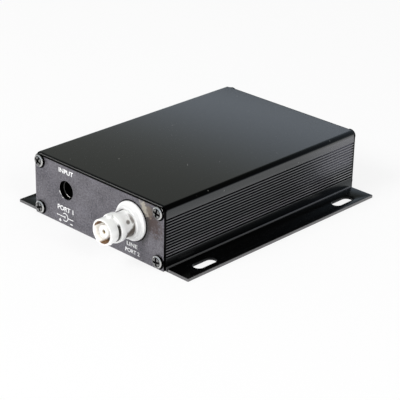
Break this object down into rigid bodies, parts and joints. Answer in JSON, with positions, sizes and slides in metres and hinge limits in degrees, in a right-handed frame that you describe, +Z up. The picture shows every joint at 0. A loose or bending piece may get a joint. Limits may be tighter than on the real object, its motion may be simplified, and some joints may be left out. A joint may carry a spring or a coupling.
{
  "type": "ethernet extender",
  "caption": "Ethernet over coaxial cable extender: ribbed black metal case with slotted fixing ears, bayonet coaxial jack and round power jack in front, ethernet socket behind.",
  "frame": {"origin": "middle of the case's flat underside, half way along the extrusion", "axes": "+X to the right along the front plate, +Y from the front plate to the rear plate, +Z up"},
  "size_m": [0.0894, 0.1177, 0.0244],
  "materials": {
    "anodised_case": "black anodised, semi-gloss",
    "plate_black": "black anodised, fine matte grain",
    "screw_steel": "nickel plated steel",
    "white_plastic": "smooth moulding",
    "nickel_shell": "bright nickel plate",
    "white_dielectric": "turned plastic",
    "gold_contact": "gold plated",
    "tinned_metal": "tin plated",
    "black_plastic": "moulded",
    "green_light": "tinted clear lens",
    "green_board": "solder mask over glass fibre",
    "ferrite": "sintered ferrite",
    "copper_wire": "enamelled copper wire",
    "can_sleeve": "aluminium can",
    "chip_black": "moulded package",
    "sink_aluminium": "extruded aluminium",
    "arrester_ceramic": "ceramic with plated caps"
  },
  "bodies": {
    "root": {"case_extrusion": "anodised_case", "front_plate": "plate_black", "rear_plate": "plate_black", "front_screws": "screw_steel", "rear_screws": "screw_steel", "coax_insulator": "white_plastic", "coax_shell": "nickel_shell", "coax_dielectric": "white_dielectric", "coax_contact": "gold_contact", "coax_ground_tag": "tinned_metal", "coax_housing": "black_plastic", "dc_jack_housing": "black_plastic", "dc_jack_pin": "tinned_metal", "dc_jack_spring": "tinned_metal", "ethernet_shield": "tinned_metal", "ethernet_housing": "black_plastic", "ethernet_contacts": "gold_contact", "ethernet_lights": "green_light", "status_light": "green_light", "light_holder": "black_plastic", "circuit_board": "green_board", "transformer_core": "ferrite", "transformer_bobbin": "black_plastic", "transformer_winding": "copper_wire", "capacitors": "can_sleeve", "power_inductor": "ferrite", "modem_chip": "chip_black", "heat_sink": "sink_aluminium", "port_chip": "chip_black", "memory_chip": "chip_black", "crystal": "tinned_metal", "regulator": "chip_black", "surge_arrester": "arrester_ceramic"}
  },
  "joints": []
}
